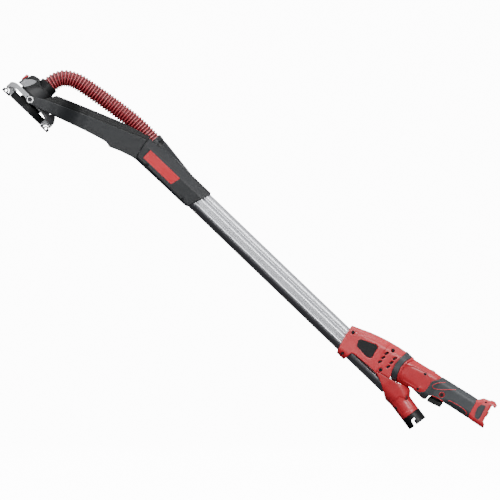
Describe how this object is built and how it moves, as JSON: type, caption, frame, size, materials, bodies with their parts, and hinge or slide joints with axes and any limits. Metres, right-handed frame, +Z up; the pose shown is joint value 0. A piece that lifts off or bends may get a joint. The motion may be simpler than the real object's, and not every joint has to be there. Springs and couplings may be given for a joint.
{
  "type": "pole drywall sander",
  "caption": "Cordless long-reach drywall sander body: bent pole with a motor and grip at one end and a tilting, dust-extracting head mount at the other.",
  "frame": {"origin": "centre of the hand grip", "axes": "+X from the head end towards the battery foot, level; +Z up in the working attitude shown; +Y completes the right-handed frame, across the tool"},
  "size_m": [1.2127, 0.1382, 0.8826],
  "materials": {
    "extrusion": "satin anodised",
    "bearing_plastic": "matte",
    "grey_shell": "fine texture",
    "red_gloss": "gloss",
    "black_plastic": "fine texture",
    "steel": "ground",
    "black_steel": "black oxide",
    "bright_steel": "bright",
    "hose_red": "ribbed, satin",
    "cast_silver": "cast and bead blasted",
    "light_grey": "satin",
    "brass": "satin",
    "lamination": "laminated",
    "copper": "enamelled wire",
    "red_shell": "satin moulded",
    "grip_rubber": "soft, fine texture",
    "board_green": "varnished"
  },
  "bodies": {
    "pole": {"arm_cover": "black_plastic", "arm_left": "grey_shell", "arm_right": "grey_shell", "badge_plates": "black_plastic", "ball_bearings": "steel", "battery_rail": "black_plastic", "bearing_plate": "cast_silver", "button_ring": "red_gloss", "button_spring": "steel", "control_board": "board_green", "control_pins": "steel", "duct_cover_left": "red_shell", "duct_cover_right": "red_shell", "foot_bumpers": "grip_rubber", "grip_cover_left": "grip_rubber", "grip_cover_right": "grip_rubber", "handle_left": "red_shell", "handle_right": "red_shell", "hose_connector": "black_plastic", "housing_screws": "black_steel", "knee_housing_left": "grey_shell", "knee_housing_right": "grey_shell", "label_plates": "red_gloss", "motor_housing_left": "red_shell", "motor_housing_right": "red_shell", "pivot_collars": "bright_steel", "pivot_screws": "black_steel", "rubber_band": "grip_rubber", "shaft_sleeves": "bearing_plastic", "stator": "lamination", "stator_windings": "copper", "suction_hose": "hose_red", "switch_body": "black_plastic", "terminal_blades": "brass", "trigger_spring": "steel", "tube": "extrusion"},
    "gimbal": {"gimbal_ring": "cast_silver", "hood_base": "black_plastic", "hood_left": "black_plastic", "hood_right": "black_plastic", "hood_panels": "light_grey", "hose_socket": "black_plastic", "gear_pod": "black_plastic", "spindle_bearing": "brass"},
    "release": {"release_slider": "red_gloss"},
    "carrier": {"drum": "black_plastic", "carrier_blocks": "light_grey", "head_jaws": "black_plastic", "roll_pins": "steel"},
    "output": {"output_spindle": "steel", "crown_gear": "steel"},
    "head_shaft": {"head_pinion": "steel"},
    "arm_drive": {"arm_shaft": "steel"},
    "pole_drive": {"pole_shaft": "steel", "drive_gear": "steel"},
    "rotor": {"rotor": "steel", "fan": "black_plastic"},
    "trigger": {"trigger": "black_plastic"},
    "lock": {"lock_button": "black_plastic"},
    "dial": {"speed_dial": "black_plastic"}
  },
  "joints": [
    {"name": "head_tilt", "type": "hinge", "parent": "pole", "child": "gimbal", "pos_m": [-1.0395, 0, 0.7274], "axis": [0, -1, 0], "range_deg": [-20, 18], "deforming": ["suction_hose"]},
    {"name": "head_roll", "type": "hinge", "parent": "gimbal", "child": "carrier", "pos_m": [-1.04309, 0, 0.71283], "axis": [0.7218, 0, -0.6921], "range_deg": [-10.5, 10.5]},
    {"name": "rotor_spin", "type": "hinge", "parent": "pole", "child": "rotor", "pos_m": [-0.18163, 0, 0.10948], "axis": [0.7218, 0, -0.6921], "continuous": true},
    {"name": "pole_shaft_spin", "type": "hinge", "parent": "pole", "child": "pole_drive", "pos_m": [-0.50756, 0, 0.39086], "axis": [0.7218, 0, -0.6921], "continuous": true},
    {"name": "arm_shaft_spin", "type": "hinge", "parent": "pole", "child": "arm_drive", "pos_m": [-0.94887, 0, 0.68514], "axis": [0.9063, 0, -0.4226], "continuous": true},
    {"name": "head_shaft_spin", "type": "hinge", "parent": "gimbal", "child": "head_shaft", "pos_m": [-1.05033, 0, 0.73778], "axis": [0.7218, 0, -0.6921], "continuous": true},
    {"name": "output_spin", "type": "hinge", "parent": "gimbal", "child": "output", "pos_m": [-1.04447, 0, 0.71138], "axis": [0.6921, 0, 0.7218], "continuous": true},
    {"name": "release_press", "type": "slide", "parent": "gimbal", "child": "release", "axis": [0.7218, 0, -0.6921], "range_m": [0, 0.003], "stiffness_N_per_m": 600, "springref_m": -0.002},
    {"name": "trigger_pull", "type": "hinge", "parent": "pole", "child": "trigger", "pos_m": [-0.02978, 0, -0.00615], "axis": [0, 1, 0], "range_deg": [0, 6], "stiffness_Nm_per_rad": 0.25, "springref_deg": -8.59, "deforming": ["trigger_spring"]},
    {"name": "lock_press", "type": "slide", "parent": "pole", "child": "lock", "axis": [0, 1, 0], "range_m": [0, 0.0025], "stiffness_N_per_m": 400, "springref_m": -0.002, "deforming": ["button_spring"]},
    {"name": "dial_turn", "type": "hinge", "parent": "pole", "child": "dial", "pos_m": [-0.05809, 0, 0.05422], "axis": [0, 1, 0], "range_deg": [-135, 135]}
  ],
  "couplings": [
    {"joint": "pole_shaft_spin", "follows": "rotor_spin", "ratio": -0.5},
    {"joint": "arm_shaft_spin", "follows": "rotor_spin", "ratio": -0.5},
    {"joint": "head_shaft_spin", "follows": "rotor_spin", "ratio": -0.5},
    {"joint": "output_spin", "follows": "rotor_spin", "ratio": 0.11765}
  ]
}
